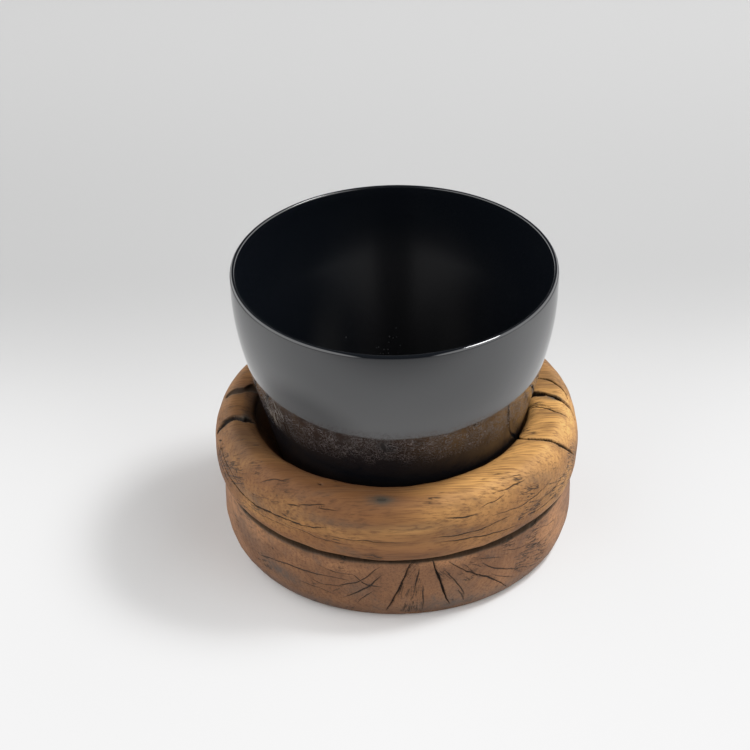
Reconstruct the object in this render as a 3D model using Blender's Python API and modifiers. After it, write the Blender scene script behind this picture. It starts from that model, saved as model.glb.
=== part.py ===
"""A glossy black turned bowl that rests in a stand of two stacked wooden rings.

Units are metres, +Z is up, and the origin is on the floor under the middle of
the stand.  The two rings lie on each other and are pinned with four hidden
dowels.  The bowl hangs in the throat of the upper ring, where its tapering
wall wedges, and lifts straight out.
"""
import math

import bmesh
import bpy
from mathutils import Vector

# Whole object
HEIGHT = 0.280               # floor to lip
GAP = 0.0003                 # kept between any two pieces that touch
STEPS = 64                   # facets round each turned piece

# Bowl
RIM_RADIUS = 0.150
WALL = 0.0045
LIP_ROUND = 0.0015           # radius on both edges of the lip
FOOT_HEIGHT = 0.030          # the flat foot's height above the floor
FOOT_ROUND = 0.050           # radius between the wall and the foot
SHOULDER_DROP = 0.010        # upright stretch under the lip
SHOULDER_RADIUS = 0.265      # long curve that leads into the taper
TAPER = math.radians(14.8)   # the lower wall's lean from upright

# Lower ring
LOWER_HEIGHT = 0.068
LOWER_RADIUS = 0.1648
LOWER_HOLE = 0.1100
LOWER_FOOT_RADIUS = 0.152    # outer edge of the face that it stands on
LOWER_CURVE = 0.030          # height of the curve from that edge to the side
EDGE_ROUND = 0.0025          # softened upper edge
CHAMFER = 0.0015             # edges of the holes

# Upper ring
UPPER_BOTTOM = LOWER_HEIGHT + GAP
UPPER_TOP = 0.132
UPPER_RADIUS = 0.1713
UPPER_WIDEST = 0.099         # height of the widest place
CREST_RADIUS = 0.1485        # the ring's highest line
OUTER_LOWER_DEPTH = 0.010    # how far the outer side curls in at the bottom
INNER_EDGE = 0.127           # where the rounded top ends and the throat begins
INNER_EDGE_HEIGHT = 0.119
SEAT_TOP = 0.086             # the band that the bowl wedges in
TOP_ROUNDNESS = 2.3          # 2 is an ellipse, more is squarer
BOTTOM_ROUNDNESS = 3.0

# Dowels
DOWEL_RADIUS = 0.006
DOWEL_LENGTH = 0.050
DOWEL_CIRCLE = 0.138         # radius of the circle that they stand on
DOWEL_CHAMFER = 0.0008
DOWEL_SIDES = 20
DOWELS = {"dowel_back_right": 45, "dowel_back_left": 135,
          "dowel_front_left": 225, "dowel_front_right": 315}


def clear_scene():
    """Start from an empty file."""
    for thing in list(bpy.data.objects):
        bpy.data.objects.remove(thing)


def new_collection(name):
    """A new collection in the scene."""
    group = bpy.data.collections.new(name)
    bpy.context.scene.collection.children.link(group)
    return group


def finish_material(name, color, roughness):
    """A plain Principled material."""
    material = bpy.data.materials.new(name)
    material.use_nodes = True
    shader = material.node_tree.nodes["Principled BSDF"]
    shader.inputs["Base Color"].default_value = (*color, 1.0)
    shader.inputs["Roughness"].default_value = roughness
    shader.inputs["Metallic"].default_value = 0.0
    return material


def arc(center, radius, start, end, segments):
    """Points on a circle in the profile plane, angles from +X towards +Z."""
    angles = [start + (end - start) * i / segments for i in range(segments + 1)]
    return [(center[0] + radius * math.cos(a), center[1] + radius * math.sin(a)) for a in angles]


def squircle(center, reach, roundness, start, end, segments):
    """Points on a superellipse in the profile plane, with reach (x, z) from its centre."""
    points = []
    for i in range(segments + 1):
        angle = math.radians(start + (end - start) * i / segments)
        across = math.copysign(abs(math.cos(angle)) ** (2 / roundness), math.cos(angle))
        upward = math.copysign(abs(math.sin(angle)) ** (2 / roundness), math.sin(angle))
        points.append((center[0] + reach[0] * across, center[1] + reach[1] * upward))
    return points


def turned(name, profile, closed, material, collection):
    """Turn a profile in the XZ plane round the Z axis, as a named object."""
    mesh = bpy.data.meshes.new(name)
    edges = [(i, i + 1) for i in range(len(profile) - 1)]
    if closed:
        edges.append((len(profile) - 1, 0))
    mesh.from_pydata([(x, 0.0, z) for x, z in profile], edges, [])
    thing = bpy.data.objects.new(name, mesh)
    collection.objects.link(thing)
    screw = thing.modifiers.new("turn", "SCREW")
    screw.axis = "Z"
    screw.steps = screw.render_steps = STEPS
    screw.use_merge_vertices = True
    screw.merge_threshold = 0.00001
    screw.use_smooth_shade = True
    mesh.materials.append(material)
    return thing


def bowl_side(inset):
    """One side of the bowl's wall from foot to lip, set in by inset from the outside."""
    bend = (RIM_RADIUS - SHOULDER_RADIUS, HEIGHT - SHOULDER_DROP)
    shoulder = arc(bend, SHOULDER_RADIUS - inset, -TAPER, 0.0, 5)
    taper_start = arc(bend, SHOULDER_RADIUS, -TAPER, -TAPER, 1)[0]
    foot_z = FOOT_HEIGHT + FOOT_ROUND
    wall_x = taper_start[0] - math.tan(TAPER) * (taper_start[1] - foot_z)
    foot_center = (wall_x - FOOT_ROUND / math.cos(TAPER), foot_z)
    foot = arc(foot_center, FOOT_ROUND - inset, -math.pi / 2, -TAPER, 6)
    return [(0.0, FOOT_HEIGHT + inset)] + foot + shoulder


def bowl_radius(height):
    """The outside radius of the bowl on its straight taper."""
    bend_x = RIM_RADIUS - SHOULDER_RADIUS + SHOULDER_RADIUS * math.cos(TAPER)
    bend_z = HEIGHT - SHOULDER_DROP - SHOULDER_RADIUS * math.sin(TAPER)
    return bend_x - math.tan(TAPER) * (bend_z - height)


def make_bowl(material, collection):
    """Thin wall, rounded lip, flat foot."""
    inner_lip = (RIM_RADIUS - WALL + LIP_ROUND, HEIGHT - LIP_ROUND)
    outer_lip = (RIM_RADIUS - LIP_ROUND, HEIGHT - LIP_ROUND)
    lip = arc(inner_lip, LIP_ROUND, math.pi, math.pi / 2, 2)
    lip += arc(outer_lip, LIP_ROUND, math.pi / 2, 0.0, 2)
    profile = bowl_side(WALL) + lip + bowl_side(0.0)[::-1]
    return turned("bowl", profile, False, material, collection)


def make_lower_ring(material, collection):
    """Flat top and bottom, sides that curve in to the standing face."""
    profile = arc((LOWER_RADIUS - EDGE_ROUND, LOWER_HEIGHT - EDGE_ROUND), EDGE_ROUND,
                  math.pi / 2, 0.0, 3)
    profile += squircle((LOWER_FOOT_RADIUS, LOWER_CURVE),
                        (LOWER_RADIUS - LOWER_FOOT_RADIUS, LOWER_CURVE), 2.0, 0, -90, 6)
    profile += [(LOWER_HOLE + CHAMFER, 0.0), (LOWER_HOLE, CHAMFER),
                (LOWER_HOLE, LOWER_HEIGHT - CHAMFER), (LOWER_HOLE + CHAMFER, LOWER_HEIGHT)]
    return turned("lower_ring", profile, True, material, collection)


def make_upper_ring(material, collection):
    """Rounded top and side, and a throat that narrows to the bowl's seat."""
    widest = (UPPER_RADIUS - CREST_RADIUS, UPPER_TOP - UPPER_WIDEST)
    outside = squircle((CREST_RADIUS, UPPER_WIDEST), widest, TOP_ROUNDNESS, 90, 0, 8)
    outside += squircle((UPPER_RADIUS - OUTER_LOWER_DEPTH, UPPER_WIDEST),
                        (OUTER_LOWER_DEPTH, UPPER_WIDEST - UPPER_BOTTOM),
                        BOTTOM_ROUNDNESS, 0, -90, 6)[1:]
    seat_gap = GAP / math.cos(TAPER) / math.cos(math.pi / STEPS)
    seat_low = UPPER_BOTTOM + CHAMFER
    seat = [(bowl_radius(seat_low) + seat_gap, seat_low),
            (bowl_radius(SEAT_TOP) + seat_gap, SEAT_TOP)]
    under = [(seat[0][0] + CHAMFER, UPPER_BOTTOM)]
    inner_reach = (CREST_RADIUS - INNER_EDGE, UPPER_TOP - INNER_EDGE_HEIGHT)
    inside = squircle((CREST_RADIUS, INNER_EDGE_HEIGHT), inner_reach, TOP_ROUNDNESS, 180, 90, 6)
    profile = outside + under + seat + inside[:-1]
    return turned("upper_ring", profile, True, material, collection)


def cylinder(name, radius, length, sides, collection):
    """An upright cylinder round its own origin."""
    mesh = bpy.data.meshes.new(name)
    shape = bmesh.new()
    bmesh.ops.create_cone(shape, cap_ends=True, segments=sides, radius1=radius,
                          radius2=radius, depth=length)
    shape.to_mesh(mesh)
    shape.free()
    thing = bpy.data.objects.new(name, mesh)
    collection.objects.link(thing)
    return thing


def make_dowels(rings, material, collection, cutters):
    """Four dowels on a circle, half in each ring, with a blind hole round each."""
    for name, degrees in DOWELS.items():
        turn = math.radians(degrees)
        place = Vector((math.cos(turn), math.sin(turn), 0.0)) * DOWEL_CIRCLE
        place.z = LOWER_HEIGHT + GAP / 2
        dowel = cylinder(name, DOWEL_RADIUS, DOWEL_LENGTH, DOWEL_SIDES, collection)
        dowel.location = place
        dowel.data.materials.append(material)
        bevel = dowel.modifiers.new("ends", "BEVEL")
        bevel.width = DOWEL_CHAMFER
        bevel.segments = 1
        bevel.limit_method = "ANGLE"
        bevel.angle_limit = math.radians(60)
        hole = cylinder(name + "_hole", DOWEL_RADIUS + GAP, DOWEL_LENGTH + 2 * GAP,
                        DOWEL_SIDES, cutters)
        hole.location = place
        hole.hide_render = True
        hole.display_type = "WIRE"
        for ring in rings:
            cut = ring.modifiers.new(name + "_hole", "BOOLEAN")
            cut.operation = "DIFFERENCE"
            cut.object = hole


def main():
    """Build the bowl and its stand."""
    clear_scene()
    parts = new_collection("bowl_on_ring_stand")
    cutters = new_collection("cutters")
    lacquer = finish_material("black_lacquer", (0.012, 0.012, 0.013), 0.05)
    golden = finish_material("golden_timber", (0.42, 0.23, 0.11), 0.70)
    ruddy = finish_material("ruddy_timber", (0.28, 0.13, 0.07), 0.75)
    pale = finish_material("dowel_timber", (0.62, 0.45, 0.28), 0.65)
    make_bowl(lacquer, parts)
    upper = make_upper_ring(golden, parts)
    lower = make_lower_ring(ruddy, parts)
    make_dowels((upper, lower), pale, parts, cutters)


main()
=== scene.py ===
"""The looks of a glossy black bowl in a stand of two weathered wooden rings.

Lengths are in metres where nothing else is said.  An azimuth is measured from
the front (-Y) and grows towards +X.  A ring's station is the distance along its
outline, outwards and down from its top, and negative inwards and down.
"""
import math

import bpy
import numpy as np
from mathutils import Matrix, Vector


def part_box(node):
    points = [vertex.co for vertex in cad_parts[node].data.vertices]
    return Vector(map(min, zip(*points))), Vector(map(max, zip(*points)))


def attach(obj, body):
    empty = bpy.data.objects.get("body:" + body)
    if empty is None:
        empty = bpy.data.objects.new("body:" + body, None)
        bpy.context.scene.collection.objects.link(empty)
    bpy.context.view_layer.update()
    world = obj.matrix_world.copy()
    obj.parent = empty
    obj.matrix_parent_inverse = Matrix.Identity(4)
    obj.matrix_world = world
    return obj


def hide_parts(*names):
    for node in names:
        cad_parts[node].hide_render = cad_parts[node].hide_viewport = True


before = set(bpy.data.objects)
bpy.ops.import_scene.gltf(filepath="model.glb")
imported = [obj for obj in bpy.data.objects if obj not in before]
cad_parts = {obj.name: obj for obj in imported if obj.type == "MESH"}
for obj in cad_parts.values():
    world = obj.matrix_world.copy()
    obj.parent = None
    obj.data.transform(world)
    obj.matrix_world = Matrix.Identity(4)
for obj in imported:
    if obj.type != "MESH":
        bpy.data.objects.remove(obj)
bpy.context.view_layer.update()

# The view, and the light of a plain studio
VIEW_ELEVATION = math.radians(33.8)
VIEW_DISTANCE = 2.796
VIEW_ROLL = math.radians(-1.2)
VIEW_AIM = Vector((-0.0195, 0.0, 0.162))
LENS = 144.0
KEY_AIM = Vector((0.0, 0.0, 0.12))
KEY_DIRECTION = Vector((0.44, 0.11, 0.88))
KEY_DISTANCE = 3.6
KEY_SIZE = 0.88
KEY_POWER = 79.0
PANEL_LIGHT = 2.10
STRIP_LIGHT = 0.06
HORIZON_LIGHT = 0.80
PANEL_EDGE = (0.34, 0.46)
HORIZON_TOP = (0.04, 0.16)
# Scene brightness and what it is shown as, so that the paper stays just below white
TONES = ((0.0, 0.0), (0.5, 0.5), (0.7, 0.69), (0.9, 0.84), (1.1, 0.905), (1.5, 0.945))
FLOOR_SIZE = 60.0
FLOOR_ROUGH = 0.9
# Painted light falloff on the paper along Y, as (from, to, value at from, value at to): painted
# shade darkens the paper behind the object, and the other two lighten it far back and darken it in
# front
FALLOFF_BEHIND = (-0.10, 0.47, 0.79, 0.395)
FALLOFF_FAR = (0.55, 1.10, 0.0, 0.04)
FALLOFF_FRONT = (-0.32, -0.75, 0.0, 0.45)

# Bowl, as built in CAD, but with a rounder lip: outer and inner side share these
WALL = 0.0045
LIP_INNER_ROUND = 0.0014
LIP_OUTER_ROUND = 0.0028
FOOT_ROUND = 0.050
SHOULDER_DROP = 0.010
SHOULDER_RADIUS = 0.265
TAPER = math.radians(14.8)
BOWL_STEPS = 256

# Rings: their outlines as built in CAD, then how far they are worn and where the throat leans
CREST_RADIUS = 0.1485
UPPER_WIDEST = 0.099
OUTER_LOWER_DEPTH = 0.010
INNER_EDGE = 0.127
INNER_EDGE_HEIGHT = 0.119
SEAT_TOP = 0.086
SEAT_CLEAR = 0.00035
TOP_ROUNDNESS = 2.3
BOTTOM_ROUNDNESS = 3.0
LOWER_FOOT_RADIUS = 0.152
LOWER_CURVE = 0.030
LOWER_HOLE = 0.110
EDGE_ROUND = 0.0025
CHAMFER = 0.0015
WORN = 0.0009
THROAT_STARTS = 0.131
THROAT_LEAN = (-0.0052, 0.0028)

# Unevenness of the rings, as (wave size, amount)
BROAD_SWELL = (0.09, 0.0004)
SMALL_SWELL = (0.025, 0.00018)
WORK_FADES_IN = 0.012
WORK_FADES_OUT = 0.004

# The gap that the rings' outer edges part to, widest halfway along each side of the front.
# Pairs are for the left and the right side, azimuths in degrees
GAP = 0.0028
GAP_REACH = (76, 83)
GAP_POWER = (0.75, 1.2)
GAP_LEAST = 0.34
GAP_NIP = 0.30
GAP_NIP_AZIMUTH = 27
GAP_NIP_WIDTH = 2.0
GAP_RADII = (0.135, 0.158)
GAP_LEVEL = 0.016
# How near the joint the faces in the gap get painted shade
GAP_SHADE_LEVEL = 0.0030

# Cracks: how they wander and vary in width, as (wave size, amount), and how they narrow
WANDER = (0.016, 0.0004)
WAVER = (0.006, 0.00012)
VARIED_WIDTH = (0.014, 0.22)
WIDE_CRACK = 0.004
WIDE_NARROWING = 0.22
THIN_NARROWING = 0.5
CRACK_BRIM = 0.002
NO_CRACK = -0.002


# ---------------------------------------------------------------- outlines

def arc(center, radius, start, end, segments):
    """Points on a circle in the profile plane, angles from +X towards +Z."""
    angles = np.linspace(start, end, segments + 1)
    return [(center[0] + radius * math.cos(a), center[1] + radius * math.sin(a)) for a in angles]


def squircle(center, reach, roundness, start, end, segments):
    """Points on a superellipse in the profile plane, with reach (x, z) from its centre."""
    angles = np.radians(np.linspace(start, end, segments + 1))
    power = 2 / roundness
    across = np.sign(np.cos(angles)) * np.abs(np.cos(angles)) ** power
    upward = np.sign(np.sin(angles)) * np.abs(np.sin(angles)) ** power
    return [(center[0] + reach[0] * x, center[1] + reach[1] * z) for x, z in zip(across, upward)]


def bowl_side(inset):
    """One side of the bowl's wall from foot to lip, set in by inset from the outside."""
    low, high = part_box("bowl")
    rim, top, foot_z = high[0], high[2], low[2]
    bend = (rim - SHOULDER_RADIUS, top - SHOULDER_DROP)
    shoulder = arc(bend, SHOULDER_RADIUS - inset, -TAPER, 0.0, 24)
    start_x = bend[0] + SHOULDER_RADIUS * math.cos(TAPER)
    start_z = bend[1] - SHOULDER_RADIUS * math.sin(TAPER)
    center_z = foot_z + FOOT_ROUND
    wall_x = start_x - math.tan(TAPER) * (start_z - center_z)
    center = (wall_x - FOOT_ROUND / math.cos(TAPER), center_z)
    foot = arc(center, FOOT_ROUND - inset, -math.pi / 2, -TAPER, 16)
    first, last = foot[-1], shoulder[0]
    taper = [(first[0] + (last[0] - first[0]) * i / 12, first[1] + (last[1] - first[1]) * i / 12)
             for i in range(1, 12)]
    flat = [(foot[0][0] * i / 4, foot_z + inset) for i in range(4)]
    return flat + foot + taper + shoulder


def bowl_radius(height):
    """The outside radius of the bowl at a height on its straight taper."""
    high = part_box("bowl")[1]
    bend_x = high[0] - SHOULDER_RADIUS + SHOULDER_RADIUS * math.cos(TAPER)
    bend_z = high[2] - SHOULDER_DROP - SHOULDER_RADIUS * math.sin(TAPER)
    return bend_x - math.tan(TAPER) * (bend_z - height)


def bowl_profile():
    """Inside, lip and outside, from the middle of the inside to the middle of the foot."""
    rim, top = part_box("bowl")[1][0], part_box("bowl")[1][2]
    inner = (rim - WALL + LIP_INNER_ROUND, top - LIP_INNER_ROUND)
    outer = (rim - LIP_OUTER_ROUND, top - LIP_OUTER_ROUND)
    lip = arc(inner, LIP_INNER_ROUND, math.pi, math.pi / 2, 6)
    lip += arc(outer, LIP_OUTER_ROUND, math.pi / 2, 0.0, 10)
    return bowl_side(WALL) + lip + bowl_side(0.0)[::-1]


def upper_profile():
    """The upper ring's outline from its crest, outwards, under and up the throat."""
    low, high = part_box("upper_ring")
    bottom, top, radius = low[2], high[2], high[0]
    outside = squircle((CREST_RADIUS, UPPER_WIDEST), (radius - CREST_RADIUS, top - UPPER_WIDEST),
                       TOP_ROUNDNESS, 90, 0, 40)
    reach = (OUTER_LOWER_DEPTH, UPPER_WIDEST - bottom)
    outside += squircle((radius - OUTER_LOWER_DEPTH, UPPER_WIDEST), reach,
                        BOTTOM_ROUNDNESS, 0, -90, 30)[1:]
    seat = [(bowl_radius(bottom) + SEAT_CLEAR, bottom + CHAMFER),
            (bowl_radius(SEAT_TOP) + SEAT_CLEAR, SEAT_TOP)]
    reach = (CREST_RADIUS - INNER_EDGE, top - INNER_EDGE_HEIGHT)
    inside = squircle((CREST_RADIUS, INNER_EDGE_HEIGHT), reach, TOP_ROUNDNESS, 180, 90, 30)
    return outside + [(seat[0][0] + CHAMFER, bottom)] + seat + inside


def lower_profile():
    """The lower ring's outline from its outer top edge, down, under and up the hole."""
    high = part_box("lower_ring")[1]
    top, radius = high[2], high[0]
    outline = arc((radius - EDGE_ROUND, top - EDGE_ROUND), EDGE_ROUND, math.pi / 2, 0.0, 6)
    reach = (radius - LOWER_FOOT_RADIUS, LOWER_CURVE)
    outline += squircle((LOWER_FOOT_RADIUS, LOWER_CURVE), reach, 2.0, 0, -90, 24)
    outline += [(LOWER_HOLE + CHAMFER, 0.0), (LOWER_HOLE, CHAMFER),
                (LOWER_HOLE, top - CHAMFER), (LOWER_HOLE + CHAMFER, top), outline[0]]
    return outline


# ---------------------------------------------------------------- ring meshes

def stations(profile, fine_until, fine, coarse, fine_from):
    """Spreads points along a closed outline, and gives their radii, heights and stations.

    They are fine apart up to the station fine_until and over the last fine_from, else coarse."""
    corners = np.array(profile)
    along = np.concatenate([[0.0], np.cumsum(np.hypot(*np.diff(corners, axis=0).T))])
    length = along[-1]
    marks = [0.0]
    while marks[-1] < length:
        here = marks[-1]
        marks.append(here + (fine if here < fine_until or here > length - fine_from else coarse))
    marks = np.array(marks[:-1])
    radius = np.interp(marks, along, corners[:, 0])
    height = np.interp(marks, along, corners[:, 1])
    signed = np.where(marks > length - fine_from, marks - length, marks)
    return radius, height, signed


def azimuths(fine_places, fine, coarse):
    """Azimuths in radians round the ring, closer together near the fine places.

    A place is its middle and half its width, in degrees."""
    sweep = np.linspace(-math.pi, math.pi, 7201)
    step = np.full_like(sweep, coarse)
    for middle, half in fine_places:
        away = np.abs((np.degrees(sweep) - middle + 180) % 360 - 180)
        step = np.minimum(step, fine + (coarse - fine) * np.clip((away - half) / 8, 0, 1))
    count = np.concatenate([[0.0], np.cumsum(np.diff(sweep) / ((step[1:] + step[:-1]) / 2))])
    whole = int(round(count[-1]))
    return np.interp(np.arange(whole) * count[-1] / whole, count, sweep)


def ease(value, low, high):
    """Goes smoothly from 0 at low to 1 at high."""
    t = np.clip((value - low) / (high - low), 0, 1)
    return t * t * (3 - 2 * t)


def swell(points, size, amount, seed):
    """A smooth random height at each point, from ten crossed waves of about the given size."""
    waves = np.random.default_rng(seed)
    total = np.zeros(points.shape[:-1])
    for _ in range(10):
        direction = waves.normal(size=3)
        direction /= np.linalg.norm(direction)
        turns = 2 * math.pi / (size * waves.uniform(0.6, 1.6))
        total += np.sin(points @ direction * turns + waves.uniform(0, 2 * math.pi))
    return total * amount / math.sqrt(10)


def curved(path):
    """More places along a path, so that it bends smoothly through the given ones."""
    places = np.array(path, float)
    ends = np.vstack([2 * places[0] - places[1], places, 2 * places[-1] - places[-2]])
    steps = []
    for before, here, there, after in zip(ends, ends[1:], ends[2:], ends[3:]):
        for t in (0.0, 1 / 3, 2 / 3):
            bend = (2 * before - 5 * here + 4 * there - after) * t ** 2
            steep = (3 * here - before - 3 * there + after) * t ** 3
            steps.append((2 * here + (there - before) * t + bend + steep) / 2)
    return steps + [places[-1]]


class Ring:
    """A wooden ring as a grid of points, rows along the outline and columns round the axis.

    rows and columns say how these are spread.  worked has the two stations between which the
    surface is worn and cracked."""

    def __init__(self, profile, rows, columns, worked):
        self.radius, self.height, self.station = stations(profile, *rows)
        self.turn = azimuths(*columns)
        radius = self.radius[:, None]
        self.points = np.stack([radius * np.sin(self.turn), -radius * np.cos(self.turn),
                                np.repeat(self.height[:, None], len(self.turn), 1)], -1)
        run = np.roll(self.radius, -1) - np.roll(self.radius, 1)
        rise = np.roll(self.height, -1) - np.roll(self.height, 1)
        size = np.hypot(run, rise)
        out, up = -rise / size, run / size
        self.normal = np.stack([out[:, None] * np.sin(self.turn), -out[:, None] * np.cos(self.turn),
                                np.repeat(up[:, None], len(self.turn), 1)], -1)
        shape = self.points.shape[:2]
        first, last = worked
        inner = ease(self.station, first, first + WORK_FADES_IN)
        inner *= ease(self.station, last, last - WORK_FADES_OUT)
        self.worked = np.repeat(inner[:, None], shape[1], 1)
        self.sink = np.zeros(shape)
        self.margin = np.full(shape, 1.0)
        self.side = np.full(shape, 0.01)
        self.half = np.full(shape, NO_CRACK)
        self.shade_and_knot_dark = np.zeros(shape)
        self.patches = {name: np.zeros(shape) for name in ("grey", "rough", "bright", "grime_and_shade")}

    def place(self, azimuth, station):
        """The point of the surface at an azimuth in degrees and a station in millimetres."""
        order = np.argsort(self.station)
        radius = np.interp(station / 1000, self.station[order], self.radius[order])
        height = np.interp(station / 1000, self.station[order], self.height[order])
        turn = math.radians(azimuth)
        return np.array([radius * math.sin(turn), -radius * math.cos(turn), height])

    def split(self, path, width, depth, shade_and_knot_dark, seed):
        """Opens a crack along a path of places, narrowing to its ends.

        shade_and_knot_dark is how dark it is drawn: painted shade in a crack's hollow, and for the
        knot its own dark core.  The nearest crack's edge, side and half width are kept at each
        point, for the wood to draw it sharper than the mesh can."""
        corners = [self.place(*step) for step in curved(path)]
        lengths = [np.linalg.norm(b - a) for a, b in zip(corners, corners[1:])]
        away = np.full(self.side.shape, 1e9)
        side, share = np.zeros(away.shape), np.zeros(away.shape)
        done = 0.0
        for a, b, length in zip(corners, corners[1:], lengths):
            toward = (b - a) / length
            offset = self.points - a
            t = np.clip(offset @ toward / length, 0, 1)
            reach = np.linalg.norm(offset - t[..., None] * (b - a), axis=-1)
            turn = np.einsum("ijk,ijk->ij", np.cross(toward, offset), self.normal)
            nearer = reach < away
            side = np.where(nearer, np.where(turn < 0, -reach, reach), side)
            share = np.where(nearer, (done + t * length) / sum(lengths), share)
            away = np.where(nearer, reach, away)
            done += length
        side = side + swell(self.points, *WANDER, seed)
        side = side + swell(self.points, *WAVER, seed + 50)
        narrowing = WIDE_NARROWING if width > WIDE_CRACK else THIN_NARROWING
        taper = np.clip(np.sin(math.pi * share), 0, 1) ** narrowing
        half = width / 2 * taper * (1 + swell(self.points, *VARIED_WIDTH, seed + 100))
        hollow = np.sqrt(np.clip(1 - (side / np.maximum(half, 1e-5)) ** 2, 0, 1))
        self.sink = np.maximum(self.sink, depth * taper * hollow)
        nearer = away - half < self.margin
        self.margin = np.where(nearer, away - half, self.margin)
        self.side = np.where(nearer, side, self.side)
        half = np.where(away > half + CRACK_BRIM, NO_CRACK, half)
        self.half = np.where(nearer, half, self.half)
        self.shade_and_knot_dark = np.where(nearer, shade_and_knot_dark, self.shade_and_knot_dark)

    def patch(self, name, azimuth, station, along, across, strength, tilt):
        """Adds a soft oval spot, station and sizes in millimetres, tilt in degrees from level."""
        turn = (self.turn[None] - math.radians(azimuth) + math.pi) % (2 * math.pi) - math.pi
        u = turn * self.radius[:, None] * 1000
        s = self.station[:, None] * 1000 - station
        lean = math.radians(tilt)
        long = (u * math.cos(lean) - s * math.sin(lean)) / along
        wide = (u * math.sin(lean) + s * math.cos(lean)) / across
        spot = strength * np.exp(-(long ** 2 + wide ** 2))
        self.patches[name] = np.clip(self.patches[name] + spot, 0, 1)

    def warp(self, joint_height, sign):
        """Moves the outer edge at the joint up (1) or down (-1), away from the other ring's, and
        paints shade on the faces inside the gap.
        """
        left = self.turn < 0
        swing = np.degrees(np.abs(self.turn))
        reach = np.where(left, *GAP_REACH)
        opening = np.where(swing < reach, np.sin(math.pi * swing / reach), 0.0)
        opening = np.clip(opening, 0, 1) ** np.where(left, *GAP_POWER)
        opening -= GAP_NIP * np.exp(-((swing - GAP_NIP_AZIMUTH) / GAP_NIP_WIDTH) ** 2)
        opening = np.clip(opening, GAP_LEAST * ease(swing, reach - 8, reach - 24), 1)
        away = np.abs(self.height - joint_height)
        outer = ease(self.radius, *GAP_RADII)[:, None]
        close = ease(away, GAP_LEVEL, 0.0)[:, None]
        self.points[..., 2] += sign * GAP * opening * outer * close
        # Painted shade: the faces that look at each other across the gap are darkened as far as it
        # opens
        facing = ease(away, GAP_SHADE_LEVEL, 0.0)[:, None]
        grime_and_shade = ease(opening, 0.0, 0.25) * facing
        self.patches["grime_and_shade"] = np.maximum(self.patches["grime_and_shade"], grime_and_shade)

    def lean_throat(self, across, back):
        """Moves the throat's edge sideways and back, with the crest and the seat in place."""
        share = ease(self.radius, CREST_RADIUS, THROAT_STARTS)
        share *= np.clip((self.height - SEAT_TOP) / (INNER_EDGE_HEIGHT - SEAT_TOP), 0, 1)
        self.points[..., 0] += across * share[:, None]
        self.points[..., 1] += back * share[:, None]

    def build(self, name, material):
        """The finished mesh object, with its cracks and patches as attributes."""
        uneven = swell(self.points, *BROAD_SWELL, 11) + swell(self.points, *SMALL_SWELL, 12)
        shift = (uneven - WORN - self.sink) * self.worked
        points = self.points + self.normal * shift[..., None]
        rows, columns = self.side.shape
        index = np.arange(rows * columns).reshape(rows, columns)
        below, beside = np.roll(index, -1, 0), np.roll(index, -1, 1)
        corner = np.roll(below, -1, 1)
        faces = np.stack([index, below, corner, beside], -1).reshape(-1, 4)
        mesh = bpy.data.meshes.new(name)
        mesh.from_pydata(points.reshape(-1, 3).tolist(), [], faces.tolist())
        fields = {"side": self.side, "half": self.half, "shade_and_knot_dark": self.shade_and_knot_dark * self.worked}
        for key, values in {**fields, **self.patches}.items():
            field = mesh.attributes.new(key, "FLOAT", "POINT")
            field.data.foreach_set("value", values.ravel())
        mesh.shade_smooth()
        mesh.materials.append(material)
        thing = bpy.data.objects.new(name, mesh)
        bpy.context.scene.collection.objects.link(thing)
        return thing


def turned(name, profile, material, steps):
    """Turns an outline that starts and ends on the Z axis into a smooth piece."""
    mesh = bpy.data.meshes.new(name)
    edges = [(i, i + 1) for i in range(len(profile) - 1)]
    mesh.from_pydata([(x, 0.0, z) for x, z in profile], edges, [])
    mesh.materials.append(material)
    thing = bpy.data.objects.new(name, mesh)
    bpy.context.scene.collection.objects.link(thing)
    screw = thing.modifiers.new("turn", "SCREW")
    screw.steps = screw.render_steps = steps
    screw.use_merge_vertices = True
    screw.merge_threshold = 0.00001
    screw.use_smooth_shade = True
    return thing


# ---------------------------------------------------------------- materials

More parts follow.
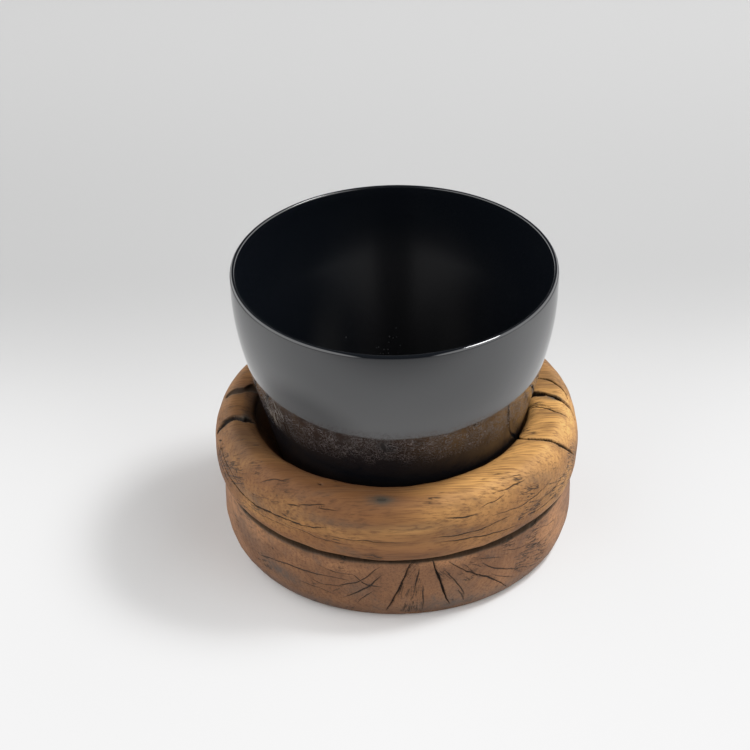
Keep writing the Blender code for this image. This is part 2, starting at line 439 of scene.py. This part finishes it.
class Nodes:
    """A short way to wire a material, made from its name, or a world."""

    def __init__(self, name_or_world):
        self.material = name_or_world
        if isinstance(name_or_world, str):
            self.material = bpy.data.materials.new(name_or_world)
            self.material.use_nodes = True
        self.tree = self.material.node_tree
        self.shader = self.tree.nodes.get("Principled BSDF")

    def set(self, socket, value):
        """Feeds a node's output, or a plain value, to a socket."""
        if isinstance(value, bpy.types.NodeSocket):
            self.tree.links.new(value, socket)
        elif socket.type == "RGBA":
            socket.default_value = (*value, 1.0)
        else:
            socket.default_value = value

    def node(self, kind, inputs=(), **settings):
        """A new node with its inputs, by name or place, and settings."""
        made = self.tree.nodes.new(kind)
        for key, value in settings.items():
            setattr(made, key, value)
        for key, value in dict(inputs).items():
            self.set(made.inputs[key], value)
        return made

    def attribute(self, name):
        """A number stored on the mesh."""
        return self.node("ShaderNodeAttribute", attribute_name=name).outputs["Fac"]

    def split(self, vector):
        """The three parts of a vector."""
        return tuple(self.node("ShaderNodeSeparateXYZ", {0: vector}).outputs)

    def joined(self, x, y, z=0.0):
        """A vector of three numbers."""
        return self.node("ShaderNodeCombineXYZ", {0: x, 1: y, 2: z}).outputs[0]

    def scaled(self, vector, grain, along, across):
        """A place scaled one way along the grain and another across it."""
        inputs = {0: vector, 1: [along if axis == grain else across for axis in "XYZ"]}
        return self.node("ShaderNodeVectorMath", inputs, operation="MULTIPLY").outputs[0]

    def math(self, operation, a, b=0.0, c=0.0):
        """A number worked out from up to three others."""
        return self.node("ShaderNodeMath", {0: a, 1: b, 2: c}, operation=operation).outputs[0]

    def product(self, first, *others):
        """Numbers multiplied with each other."""
        for other in others:
            first = self.math("MULTIPLY", first, other)
        return first

    def away(self, value, middle):
        """How far a number is from a middle one."""
        return self.math("ABSOLUTE", self.math("SUBTRACT", value, middle))

    def noise(self, vector, scale, detail=3.0, roughness=0.5, distortion=0.0, w=None):
        """Fractal noise, of four dimensions if w is given."""
        inputs = {"Vector": vector, "Scale": scale, "Detail": detail, "Roughness": roughness,
                  "Distortion": distortion}
        if w is None:
            return self.node("ShaderNodeTexNoise", inputs).outputs[0]
        inputs["W"] = w
        return self.node("ShaderNodeTexNoise", inputs, noise_dimensions="4D").outputs[0]

    def step(self, value, low, high, to_low=0.0, to_high=1.0):
        """Eases from to_low to to_high as the value goes from low to high, also downwards."""
        inputs = {0: value, 1: low, 2: high, 3: to_low, 4: to_high}
        made = self.node("ShaderNodeMapRange", inputs, interpolation_type="SMOOTHSTEP")
        return made.outputs[0]

    def mix(self, share, first, second):
        """Two colours mixed."""
        made = self.node("ShaderNodeMix", data_type="RGBA")
        self.set(made.inputs["Factor"], share)
        self.set(made.inputs["A"], first)
        self.set(made.inputs["B"], second)
        return made.outputs["Result"]

    def bump(self, height, distance, strength):
        """A bump from a height."""
        inputs = {"Height": height, "Distance": distance, "Strength": strength}
        return self.node("ShaderNodeBump", inputs).outputs[0]


# Where the bowl's marks, its painted light band and its painted reflections come and go, as (none
# here, all here).  TOP and FOOT are heights, LEFT and RIGHT azimuths in radians, and WIDTH is
# measured from the line at the X beside it.
CRAZE_TOP = (0.196, 0.176)
CRAZE_FOOT = (0.144, 0.160)
CRAZE_BELOW = 0.08
SCRATCHES_TOP = (0.196, 0.180)
SCRATCHES_FOOT = (0.146, 0.160)
SCRATCHES_LEFT = (-1.16, -1.06)
SCRATCHES_RIGHT = (-0.84, -0.94)
HAZE_TOP = (0.262, 0.150)
ROUGH_TOP = (0.184, 0.170)
DULL_TOP = (0.180, 0.148)
DUST_TOP, DUST_X, DUST_WIDTH = (0.185, 0.140), -0.035, (0.060, 0.025)
# Painted light: a paler band up the middle of the inside's back wall
LIT_BAND_TOP, LIT_BAND_X, LIT_BAND_WIDTH = (0.250, 0.190), 0.020, (0.085, 0.030)
# Painted reflections: two upright bands on the inside, where the side panels show in the lacquer
LOBES_TOP, LOBES_X, LOBES_APART, LOBE_WIDTH = (0.200, 0.120), -0.004, 0.060, (0.024, 0.002)

# Lacquer: its colours, gloss, and how much the marks, the painted light and the painted reflections
# show
BLACK = (0.0034, 0.0046, 0.0068)
# PAINTED_LIGHT_BLACK is painted light on the inside
PAINTED_LIGHT_BLACK = (0.0105, 0.0108, 0.0122)
HAZE_BLACK = (0.006, 0.0066, 0.0082)
# LOBE_REFLECTION_GREY is painted reflection
LOBE_REFLECTION_GREY = (0.022, 0.022, 0.022)
DUST_GREY = (0.16, 0.16, 0.16)
CRAZE_BROWN = (0.074, 0.056, 0.051)
SCRATCH_PALE = (0.22, 0.18, 0.14)
WHITE, NO_LIGHT = (1.0, 1.0, 1.0), (0.0, 0.0, 0.0)
LOBE_REFLECTION_SHARE, DUST_SHARE, SCRATCH_SHARE = 0.6, 0.40, 0.7
LACQUER_IOR = 1.71
LACQUER_ROUGH = 0.030
INSIDE_ROUGHER = 0.14
HAZE_ROUGHER = 0.035
LOW_ROUGHER = 0.10
MARKS_ROUGHER = 0.45
DULLEST = 0.80
LACQUER_BUMP = (0.0005, 0.5)


def craze_lines(n, place, z, outside):
    """Curly, patchy hairlines in a band low on the outside of the bowl."""
    curls = n.noise(place, 210.0, 0.5, 0.5, 2.4)
    line = n.step(n.away(curls, 0.5), 0.048, 0.012)
    patchy = n.step(n.noise(place, 64.0, 3.0, 0.6), 0.37, 0.53)
    band = n.product(n.step(z, *CRAZE_TOP), n.step(z, *CRAZE_FOOT, CRAZE_BELOW, 1.0))
    return n.product(n.product(line, patchy), n.product(band, outside))


def scratch_lines(n, x, y, z, outside):
    """A bunch of upright scratches on the left of the outside of the bowl."""
    azimuth = n.math("ARCTAN2", x, n.math("MULTIPLY", y, -1.0))
    hair = n.joined(n.math("MULTIPLY", azimuth, 42.0), n.math("MULTIPLY", z, 16.0))
    strand = n.step(n.away(n.noise(hair, 1.0, 2.0, 0.5, 0.4), 0.5), 0.030, 0.008)
    bunch = n.product(n.step(azimuth, *SCRATCHES_LEFT), n.step(azimuth, *SCRATCHES_RIGHT))
    band = n.product(n.step(z, *SCRATCHES_TOP), n.step(z, *SCRATCHES_FOOT))
    return n.product(n.product(strand, bunch), band, outside)


def dust_specks(n, place, x, z, inside):
    """Sparse specks low on the inside of the bowl."""
    specks = n.node("ShaderNodeTexVoronoi", {"Vector": place, "Scale": 260.0}).outputs["Distance"]
    sparse = n.step(n.noise(place, 38.0, 2.0, 0.5), 0.56, 0.68)
    dust = n.product(n.step(specks, 0.26, 0.10), sparse, inside)
    near = n.step(n.away(x, DUST_X), *DUST_WIDTH)
    return n.product(dust, n.product(n.step(z, *DUST_TOP), near))


def lacquer():
    """High-gloss black lacquer, crazed, scratched and duller low on the outside, with a painted
    light band and two painted reflections inside.
    """
    n = Nodes("black_lacquer")
    coordinates = n.node("ShaderNodeTexCoord").outputs
    place = coordinates["Object"]
    x, y, z = n.split(place)
    facing_x, facing_y, _ = n.split(coordinates["Normal"])
    outwards = n.math("MULTIPLY_ADD", facing_x, x, n.math("MULTIPLY", facing_y, y))
    outside = n.step(outwards, -0.005, 0.005)
    inside = n.math("SUBTRACT", 1.0, outside)

    craze = craze_lines(n, place, z, outside)
    scratches = scratch_lines(n, x, y, z, outside)
    marks = n.math("MAXIMUM", craze, scratches)
    cloud = n.step(n.noise(place, 22.0, 4.0, 0.6), 0.35, 0.70, 0.4, 1.3)
    haze = n.product(n.step(z, *HAZE_TOP), cloud, outside)
    dust = dust_specks(n, place, x, z, inside)
    # Painted light: pale is a paler band on the inside's back wall
    pale = n.product(n.step(n.away(x, LIT_BAND_X), *LIT_BAND_WIDTH), n.step(z, *LIT_BAND_TOP), inside)
    # Painted reflections: painted_lobes are two upright bands on the inside
    painted_lobes = n.step(n.away(n.away(x, LOBES_X), LOBES_APART), *LOBE_WIDTH)
    painted_lobes = n.product(painted_lobes, n.product(n.step(z, *LOBES_TOP), inside))

    colour = n.mix(pale, BLACK, PAINTED_LIGHT_BLACK)
    colour = n.mix(haze, colour, HAZE_BLACK)
    colour = n.mix(n.math("MULTIPLY", painted_lobes, LOBE_REFLECTION_SHARE), colour, LOBE_REFLECTION_GREY)
    colour = n.mix(n.math("MULTIPLY", dust, DUST_SHARE), colour, DUST_GREY)
    colour = n.mix(craze, colour, CRAZE_BROWN)
    colour = n.mix(n.math("MULTIPLY", scratches, SCRATCH_SHARE), colour, SCRATCH_PALE)
    n.set(n.shader.inputs["Base Color"], colour)

    rough = n.math("MULTIPLY_ADD", inside, INSIDE_ROUGHER, LACQUER_ROUGH)
    rough = n.math("MULTIPLY_ADD", haze, HAZE_ROUGHER, rough)
    rough = n.math("MULTIPLY_ADD", n.step(z, *ROUGH_TOP, 0.0, LOW_ROUGHER), outside, rough)
    n.set(n.shader.inputs["Roughness"], n.math("MULTIPLY_ADD", marks, MARKS_ROUGHER, rough))
    n.set(n.shader.inputs["IOR"], LACQUER_IOR)
    dull = n.math("MULTIPLY", n.step(z, *DULL_TOP, 0.0, DULLEST), outside)
    n.set(n.shader.inputs["Specular Tint"], n.mix(dull, WHITE, NO_LIGHT))
    height = n.math("MULTIPLY_ADD", marks, 0.6, n.math("MULTIPLY", cloud, 0.05))
    n.set(n.shader.inputs["Normal"], n.bump(height, *LACQUER_BUMP))
    return n.material


# Wood: how the noises are stretched, as waves per metre along and across the grain
WANDER_SCALE = (3.0, 9.0)
FIBRE_SCALE = (24.0, 520.0)
STREAK_SCALE = (5.0, 75.0)
BROAD_SCALE = (3.5, 16.0)
CHECKED_SCALE = (14.0, 40.0)
WEATHER_SCALE = (9.0, 60.0)
RINGS_PER_METRE = 240.0
CHECK_BROWN = (0.026, 0.016, 0.010)
# CRACK_SHADE_BLACK is painted shade in the cracks' hollows
CRACK_SHADE_BLACK = (0.014, 0.011, 0.009)
# SHADE_AND_GRIME_BROWN is partly a knot's core and grime, partly painted shade and a painted shadow
SHADE_AND_GRIME_BROWN = (0.050, 0.040, 0.028)
STREAK_SHARE, LATE_SHARE, FIBRE_SHARE = 0.48, 0.15, 0.58
BRIM_SHARE, CRACK_SHADE_SHARE, SHADE_AND_GRIME_SHARE = 0.35, 0.93, 0.75
WOOD_IOR = 1.30
WOOD_BUMP = (0.0007, 0.8)


def timber(name, grain, pith, tones, weather):
    """Solid wood: growth rings round a pith line, fibres and fine checks along the grain.

    grain is the axis the fibres follow and pith the middle of the log across it.  tones are its
    plain, bright, dark and weathered colours, and weather is how much the last one shows.  The
    cracks and patches come from the mesh, where it has them."""
    plain, bright, dark, grey = tones
    n = Nodes(name)
    place = n.node("ShaderNodeTexCoord").outputs["Object"]
    axes = list(n.split(place))
    along = axes.pop("XYZ".index(grain))
    wander = n.noise(n.scaled(place, grain, *WANDER_SCALE), 1.0, 2.0, 0.5)
    off_a = n.math("SUBTRACT", axes[0], pith[0])
    off_a = n.math("ADD", off_a, n.math("MULTIPLY_ADD", wander, 0.02, -0.01))
    off_b = n.math("SUBTRACT", axes[1], pith[1])
    square = n.math("MULTIPLY_ADD", off_a, off_a, n.math("MULTIPLY", off_b, off_b))
    radius = n.math("SQRT", square)

    # growth rings, fibres and broad streaks
    pace = n.math("MULTIPLY_ADD", wander, 14.0, n.math("MULTIPLY", radius, RINGS_PER_METRE))
    wave = n.math("MULTIPLY_ADD", n.math("SINE", n.math("MULTIPLY", pace, 6.28)), 0.5, 0.5)
    late = n.math("POWER", wave, 2.5)
    fibre = n.noise(n.scaled(place, grain, *FIBRE_SCALE), 1.0, 5.0, 0.65)
    streak = n.noise(n.scaled(place, grain, *STREAK_SCALE), 1.0, 4.0, 0.55)
    broad = n.noise(n.scaled(place, grain, *BROAD_SCALE), 1.0, 3.0, 0.5)

    # fine checks: thin planes that hold the pith line
    round_a = n.math("MULTIPLY", n.math("DIVIDE", off_a, radius), 30.0)
    round_b = n.math("MULTIPLY", n.math("DIVIDE", off_b, radius), 30.0)
    spread = n.joined(round_a, round_b, n.math("MULTIPLY", radius, 45.0))
    plane = n.away(n.noise(spread, 1.0, 3.0, 0.55, w=n.math("MULTIPLY", along, 22.0)), 0.5)
    rough = n.attribute("rough")
    many = n.noise(n.scaled(place, grain, *CHECKED_SCALE), 1.3, 3.0, 0.6)
    many = n.math("MULTIPLY_ADD", rough, 0.45, many)
    thin = n.step(plane, n.math("MULTIPLY_ADD", rough, 0.014, 0.036), 0.008)
    checks = n.math("MULTIPLY", thin, n.step(many, 0.56, 0.66))

    # the open cracks, sharp at their edges, with painted shade in their hollows
    side = n.math("SUBTRACT", n.attribute("side"), 0.0003)
    side = n.math("MULTIPLY_ADD", n.noise(place, 420.0, 3.0), 0.0006, side)
    half = n.attribute("half")
    inside = n.math("SUBTRACT", half, n.math("ABSOLUTE", side))
    crack = n.math("MULTIPLY", n.step(inside, -0.0003, 0.0004), n.attribute("shade_and_knot_dark"))
    brim = n.math("MULTIPLY", n.step(inside, -0.0035, 0.0), n.step(half, 0.0008, 0.002))

    # how far it has gone grey
    aged = n.noise(n.scaled(place, grain, *WEATHER_SCALE), 1.0, 4.0, 0.6)
    aged = n.math("ADD", n.attribute("grey"), n.step(aged, 0.52, 0.80, 0.0, weather))
    aged = n.math("MULTIPLY", aged, n.step(n.noise(place, 160.0, 4.0, 0.65), 0.30, 0.55, 0.55, 1.0))
    aged = n.math("MINIMUM", n.math("ADD", aged, n.math("MULTIPLY", brim, BRIM_SHARE)), 1.0)

    shine = n.math("ADD", n.attribute("bright"), n.math("MULTIPLY_ADD", broad, 1.1, -0.55))
    colour = n.mix(n.math("MAXIMUM", n.math("MINIMUM", shine, 1.0), 0.0), plain, bright)
    colour = n.mix(n.math("MULTIPLY", n.step(streak, 0.40, 0.74), STREAK_SHARE), colour, dark)
    colour = n.mix(n.math("MULTIPLY", late, LATE_SHARE), colour, dark)
    colour = n.mix(n.math("MULTIPLY", n.step(fibre, 0.46, 0.66), FIBRE_SHARE), colour, dark)
    colour = n.mix(aged, colour, grey)
    colour = n.mix(n.math("MULTIPLY", rough, n.step(fibre, 0.35, 0.60, 0.65, 0.15)), colour, dark)
    strength = n.math("MULTIPLY_ADD", rough, -0.10, 0.85)
    colour = n.mix(n.math("MULTIPLY", checks, strength), colour, CHECK_BROWN)
    colour = n.mix(n.math("MULTIPLY", crack, CRACK_SHADE_SHARE), colour, CRACK_SHADE_BLACK)
    # Partly painted shade: grime_and_shade is the knot's dark core and grime, and also painted
    # shade in the ring gap and a painted shadow of the bowl
    colour = n.mix(n.math("MULTIPLY", n.attribute("grime_and_shade"), SHADE_AND_GRIME_SHARE), colour, SHADE_AND_GRIME_BROWN)
    n.set(n.shader.inputs["Base Color"], colour)
    n.set(n.shader.inputs["Roughness"], n.math("MULTIPLY_ADD", fibre, 0.25, 0.46))
    n.set(n.shader.inputs["IOR"], WOOD_IOR)
    height = n.math("MULTIPLY_ADD", fibre, -0.30, n.math("MULTIPLY", late, 0.10))
    height = n.math("SUBTRACT", height, checks)
    height = n.math("SUBTRACT", height, n.math("MULTIPLY", crack, 1.2))
    n.set(n.shader.inputs["Normal"], n.bump(height, *WOOD_BUMP))
    return n.material


# ---------------------------------------------------------------- pieces

def make_bowl():
    """The bowl, smoother than its CAD solid."""
    bowl = turned("bowl_glossy", bowl_profile(), lacquer(), BOWL_STEPS)
    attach(bowl, "bowl")
    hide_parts("bowl")


# Cracks are (path of (azimuth, station), width, depth, shade_and_knot_dark) and patches (name,
# azimuth, station, length, width, strength, tilt).  Angles are in degrees here and lengths in
# millimetres.  shade_and_knot_dark is painted shade.
UPPER_CRACKS = [
    ([(-98, 17), (-99, 8), (-100, -1), (-101, -8), (-104, -22)], 9.5, 3.2, 0.72),
    ([(-84, 32), (-83, 24), (-82, 12), (-82, 2), (-80, -8), (-79, -24)], 7.2, 7.0, 1.0),
    ([(-90, 14), (-90, 4), (-90, -9)], 0.9, 0.5, 0.6),
    ([(-79, 30), (-77, 26)], 1.6, 1.0, 0.9),
    ([(-77, 34), (-74, 31)], 1.4, 1.0, 0.8),
    ([(105, -10), (103, -1), (100, 6), (96, 13), (92, 16)], 2.4, 3.0, 1.0),
    ([(96, -34), (95, -22), (94, -12), (93, -6)], 8.0, 8.0, 1.0),
    ([(95, -22), (95, -12), (93, -4), (90, 6), (88, 17), (85, 28)], 4.4, 7.0, 1.0),
    ([(93, -40), (87, -22), (86, -10), (84, -1)], 1.1, 0.7, 0.75),
    ([(86, -24), (84, -8), (82, 2), (81, 19)], 1.4, 0.8, 0.9),
    ([(71, -38), (66, -26), (62, -16), (63, -4), (65, 9), (67, 22), (73, 42)], 3.3, 4.5, 1.0),
    ([(-82, 36), (-75, 40), (-68, 44), (-62, 47), (-56, 49), (-50, 50), (-43, 48), (-35, 46),
      (-30, 46), (-22, 40)], 1.9, 2.0, 1.0),
    ([(-49, 22), (-45, 15), (-40, 10)], 0.9, 0.5, 0.9),
    ([(-37, 30), (-35, 29), (-32, 27)], 1.2, 0.7, 0.9),
    ([(-33, 27), (-29, 23), (-24, 19)], 1.1, 0.6, 0.9),
    ([(-26, 24), (-20, 22)], 1.0, 0.5, 0.8),
    ([(-22, 50), (-10, 49), (2, 50)], 0.9, 0.5, 0.8),
    ([(14, 28), (19, 31), (25, 32)], 1.4, 0.8, 1.0),
    ([(33, 18), (38, 19), (44, 19)], 1.2, 0.7, 0.9),
    ([(26, 26), (31, 25), (35, 22)], 1.0, 0.5, 0.8),
    ([(11, 47), (18, 49), (27, 49), (36, 46)], 1.3, 0.8, 0.9),
    ([(10, 52), (19, 55), (29, 59), (40, 62)], 1.3, 0.8, 0.9),
    ([(44, 56), (52, 60), (60, 56)], 1.2, 0.7, 0.9),
    ([(-78, 30), (-72, 34), (-66, 37), (-59, 40)], 1.1, 0.6, 0.8),
    ([(-82, 43), (-76, 48), (-70, 52), (-64, 54)], 1.2, 0.7, 0.9),
    ([(-58, 55), (-50, 56), (-42, 55), (-34, 54)], 0.9, 0.5, 0.7),
    ([(-40, 51), (-32, 52), (-24, 55), (-15, 55)], 0.9, 0.5, 0.7),
    ([(30, 39), (38, 41), (47, 40), (56, 35)], 1.1, 0.6, 0.8),
    ([(47, 49), (56, 48), (64, 44), (70, 38)], 1.0, 0.6, 0.8),
    ([(58, 56), (66, 54), (74, 48), (79, 42)], 1.0, 0.6, 0.8),
    ([(-29.6, -2), (-28.4, -2)], 3.0, 3.0, 1.0),
    # This one is the knot's dark core, its own colour rather than painted shade
    ([(-7.6, 6), (-4.4, 6)], 4.0, 0.2, 0.75),
]
UPPER_PATCHES = [
    ("grime_and_shade", -6, 6, 8.5, 4.5, 1.0, 0), ("grey", -6, 6, 9, 5, 0.8, 0),
    ("grey", -6, 6, 18, 8, 0.35, 0),
    ("grey", -82, -9, 6, 7, 0.9, 0), ("grey", 91, -1, 5, 8, 0.9, 0),
    # The spot at -93, -29 is a painted shadow of the bowl on the left arm's throat
    ("grime_and_shade", -93, -29, 42, 8, 0.8, 0), ("grime_and_shade", -70, 3, 28, 18, 0.50, 0),
    ("grime_and_shade", 104, 4, 16, 16, 0.40, 0), ("grime_and_shade", -93, 2, 46, 22, 0.12, 0),
    ("grey", -66, 30, 22, 9, 0.15, 25), ("grey", -20, 34, 38, 5, 0.40, 0),
    ("grey", -52, 44, 30, 7, 0.30, 0), ("grey", 50, 26, 26, 8, 0.30, -20),
    ("grey", 5, 34, 26, 4, 0.30, 0), ("grey", -99, 2, 9, 18, 0.3, 0),
    ("rough", -66, 38, 26, 12, 0.9, 20), ("rough", -78, 50, 20, 14, 0.5, 0),
    ("rough", 56, 52, 40, 18, 0.60, -12), ("rough", 74, 48, 24, 16, 0.6, 0),
    ("bright", 62, 0, 110, 28, 0.80, 0), ("bright", 95, 0, 60, 34, 0.42, 0),
    ("bright", 80, 26, 34, 14, 0.35, 0), ("bright", 28, -4, 50, 14, 0.35, 0),
    ("bright", 18, 22, 42, 12, 0.35, 0), ("bright", 2, 37, 34, 4, 0.55, 0),
    ("bright", -18, 44, 50, 7, 0.32, 0), ("bright", -38, 34, 40, 16, 0.22, 0),
    ("bright", -50, 58, 40, 12, 0.25, 0), ("bright", 66, 54, 40, 16, 0.6, 0),
    # The bright spot at 78, -30 is painted light: it lightens the right arm's throat, which lies in
    # shade
    ("bright", 78, -30, 40, 14, 0.3, 0), ("bright", -100, 16, 20, 10, 0.2, 0),
]
LOWER_CRACKS = [
    ([(4, -1), (2, 10), (1, 22), (-2, 42), (-5, 62)], 1.7, 3.0, 1.0),
    ([(10, -1), (11, 10), (12, 21), (14, 41), (16, 60)], 2.2, 4.0, 1.0),
    ([(6, 11), (5, 24), (4, 38)], 1.3, 0.9, 0.9),
    ([(7, 29), (7, 44), (7, 60)], 1.4, 1.0, 0.9),
    ([(15, 5), (20, 19), (25, 30), (31, 41), (39, 66)], 1.3, 1.5, 1.0),
    ([(14, 16), (18, 32), (21, 50)], 1.3, 0.8, 0.9),
    ([(27, 19), (33, 32), (43, 45)], 1.3, 0.8, 0.9),
    ([(-6, 16), (-11, 33), (-19, 48)], 1.2, 1.0, 1.0),
    ([(-21, 36), (-17, 30), (-13, 26), (-6, 5)], 1.3, 0.8, 0.9),
    ([(-15, 19), (-13, 26), (-10, 30), (-6, 29)], 1.2, 0.8, 0.9),
    ([(-52, 38), (-46, 33), (-40, 30), (-30, 28), (-17, 26)], 1.2, 0.8, 0.9),
    ([(44, 22), (52, 30), (60, 30)], 1.2, 0.7, 0.8),
    ([(20, 12), (23, 22), (26, 34)], 0.9, 0.5, 0.7),
    ([(24, 8), (29, 15), (35, 21)], 0.9, 0.5, 0.7),
    ([(34, 13), (41, 20), (48, 24)], 0.9, 0.5, 0.7),
    ([(30, 34), (35, 44), (40, 52)], 0.9, 0.5, 0.7),
    ([(18, 42), (20, 50), (21, 58)], 1.0, 0.6, 0.8),
    ([(50, 12), (57, 19), (65, 22)], 0.9, 0.5, 0.6),
    ([(-30, 35), (-25, 37), (-19, 35)], 1.0, 0.6, 0.8),
    ([(-35, 42), (-28, 43), (-21, 46)], 0.9, 0.5, 0.7),
    ([(-27, 16), (-21, 20), (-15, 19)], 0.9, 0.5, 0.7),
    ([(-9, 36), (-12, 44), (-14, 52)], 1.0, 0.6, 0.8),
    ([(1, 28), (0, 38), (0, 46)], 0.9, 0.5, 0.6),
]
LOWER_PATCHES = [
    ("grey", -42, 42, 24, 7, 0.8, -8), ("grey", -60, 24, 30, 12, 0.35, 0),
    ("grey", 10, 56, 40, 9, 0.45, 0), ("grey", 18, 40, 18, 16, 0.3, 0),
    ("grey", -14, 36, 12, 10, 0.4, 0),
    ("grey", 30, 62, 60, 8, 0.5, 0), ("grey", -40, 64, 80, 8, 0.5, 0),
    ("rough", 46, 32, 34, 26, 0.50, 0), ("rough", 6, 40, 16, 22, 0.25, 0),
    ("bright", 62, 24, 44, 26, 0.7, 0), ("bright", -62, 10, 60, 14, 0.5, 0),
    ("bright", 16, 6, 26, 6, 0.5, 0), ("bright", -20, 12, 30, 6, 0.4, 0),
]


# Wood colours: plain, bright, dark and weathered
GOLDEN_TONES = ((0.208, 0.092, 0.034), (0.72, 0.380, 0.120),
                (0.092, 0.039, 0.018), (0.086, 0.070, 0.054))
RUDDY_TONES = ((0.202, 0.096, 0.045), (0.47, 0.232, 0.102),
               (0.080, 0.037, 0.021), (0.066, 0.059, 0.053))
DOWEL_TONES = ((0.55, 0.38, 0.22), (0.64, 0.47, 0.29), (0.36, 0.23, 0.13), (0.30, 0.25, 0.20))


def weathered(ring, cracks, patches, seed):
    """Opens a ring's cracks and lays its patches."""
    for number, (path, width, depth, shade_and_knot_dark) in enumerate(cracks):
        ring.split(path, width / 1000, depth / 1000, shade_and_knot_dark, seed + number)
    for spot in patches:
        ring.patch(*spot)


def make_upper_ring():
    """Upper ring: grain from side to side, open cracks on both arms and along the front."""
    ring = Ring(upper_profile(), rows=(0.084, 0.0008, 0.006, 0.040),
                columns=([(84, 25), (-90, 15)], 0.0060, 0.0150), worked=(-0.038, 0.082))
    weathered(ring, UPPER_CRACKS, UPPER_PATCHES, 20)
    ring.warp(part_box("upper_ring")[0][2], 1)
    ring.lean_throat(*THROAT_LEAN)
    wood = timber("golden_timber", "X", (-0.005, 0.060), GOLDEN_TONES, 0.5)
    piece = ring.build("upper_ring_timber", wood)
    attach(piece, "stand")
    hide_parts("upper_ring")


def make_lower_ring():
    """Lower ring: grain from front to back, cracks that fan out from the pith."""
    ring = Ring(lower_profile(), rows=(0.073, 0.0008, 0.006, 0.004),
                columns=([(8, 34)], 0.0065, 0.0120), worked=(-0.010, 0.072))
    weathered(ring, LOWER_CRACKS, LOWER_PATCHES, 60)
    ring.warp(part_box("lower_ring")[1][2], -1)
    wood = timber("ruddy_timber", "Y", (0.021, 0.072), RUDDY_TONES, 0.5)
    piece = ring.build("lower_ring_timber", wood)
    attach(piece, "stand")
    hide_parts("lower_ring")


def make_dowels():
    """The hidden dowels keep their CAD shape and get plain pale wood."""
    wood = timber("dowel_timber", "Z", (0.0, 0.0), DOWEL_TONES, 0.1)
    for name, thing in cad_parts.items():
        if name.startswith("dowel"):
            for slot in thing.material_slots:
                slot.material = wood


# ---------------------------------------------------------------- studio

def make_camera():
    """The camera, looking down at the stand from the front."""
    forward = Vector((0.0, math.cos(VIEW_ELEVATION), -math.sin(VIEW_ELEVATION)))
    right = Vector((1.0, 0.0, 0.0))
    up = right.cross(forward)
    tilted_right = math.cos(VIEW_ROLL) * right + math.sin(VIEW_ROLL) * up
    tilted_up = -math.sin(VIEW_ROLL) * right + math.cos(VIEW_ROLL) * up
    data = bpy.data.cameras.new("camera")
    data.lens = LENS
    data.clip_end = 100.0
    camera = bpy.data.objects.new("camera", data)
    turn = Matrix((tilted_right, tilted_up, -forward)).transposed()
    camera.matrix_world = Matrix.Translation(VIEW_AIM - VIEW_DISTANCE * forward) @ turn.to_4x4()
    bpy.context.scene.collection.objects.link(camera)
    bpy.context.scene.camera = camera


def make_key_light():
    """A round soft light from the right and behind."""
    data = bpy.data.lights.new("key_light", "AREA")
    data.shape = "DISK"
    data.size = KEY_SIZE
    data.energy = KEY_POWER
    lamp = bpy.data.objects.new("key_light", data)
    away = KEY_DIRECTION.normalized()
    lamp.location = KEY_AIM + away * KEY_DISTANCE
    lamp.rotation_mode = "QUATERNION"
    lamp.rotation_quaternion = away.to_track_quat("Z", "Y")
    bpy.context.scene.collection.objects.link(lamp)


def make_surroundings():
    """A pale horizon, bright panels to the left and right, and a dark ceiling between them."""
    world = bpy.data.worlds.new("studio")
    world.use_nodes = True
    n = Nodes(world)
    x, _, z = n.split(n.node("ShaderNodeTexCoord").outputs["Generated"])
    panel = n.step(n.math("ABSOLUTE", x), *PANEL_EDGE)
    ceiling = n.math("MULTIPLY_ADD", panel, PANEL_LIGHT - STRIP_LIGHT, STRIP_LIGHT)
    above = n.step(z, *HORIZON_TOP)
    light = n.math("SUBTRACT", ceiling, HORIZON_LIGHT)
    light = n.math("MULTIPLY_ADD", above, light, HORIZON_LIGHT)
    background = world.node_tree.nodes["Background"]
    n.set(background.inputs["Strength"], light)
    n.set(background.inputs["Color"], WHITE)
    bpy.context.scene.world = world


def make_floor():
    """A floor of pale paper with painted light falloff, darker far behind the object and far in
    front of it.
    """
    mesh = bpy.data.meshes.new("floor")
    half = FLOOR_SIZE / 2
    corners = [(-half, -half, 0), (half, -half, 0), (half, half, 0), (-half, half, 0)]
    mesh.from_pydata(corners, [], [(0, 1, 2, 3)])
    n = Nodes("floor_paper")
    _, depth, _ = n.split(n.node("ShaderNodeTexCoord").outputs["Object"])
    # Painted light falloff along Y
    painted_falloff = n.math("ADD", n.step(depth, *FALLOFF_BEHIND), n.step(depth, *FALLOFF_FAR))
    painted_falloff = n.math("SUBTRACT", painted_falloff, n.step(depth, *FALLOFF_FRONT))
    n.set(n.shader.inputs["Base Color"], painted_falloff)
    n.set(n.shader.inputs["Roughness"], FLOOR_ROUGH)
    mesh.materials.append(n.material)
    floor = bpy.data.objects.new("floor", mesh)
    bpy.context.scene.collection.objects.link(floor)


def show_tones():
    """Sets how the scene's brightness is shown."""
    shown = bpy.context.scene.view_settings
    shown.view_transform = "Standard"
    shown.use_curve_mapping = True
    brightest = TONES[-1][0]
    shown.curve_mapping.white_level = (brightest, brightest, brightest)
    curve = shown.curve_mapping.curves[3]
    curve.points[-1].location = (1.0, TONES[-1][1])
    for scene_light, picture in TONES[1:-1]:
        curve.points.new(scene_light / brightest, picture)
    shown.curve_mapping.update()


make_camera()
make_floor()
make_key_light()
make_surroundings()
show_tones()
make_bowl()
make_upper_ring()
make_lower_ring()
make_dowels()
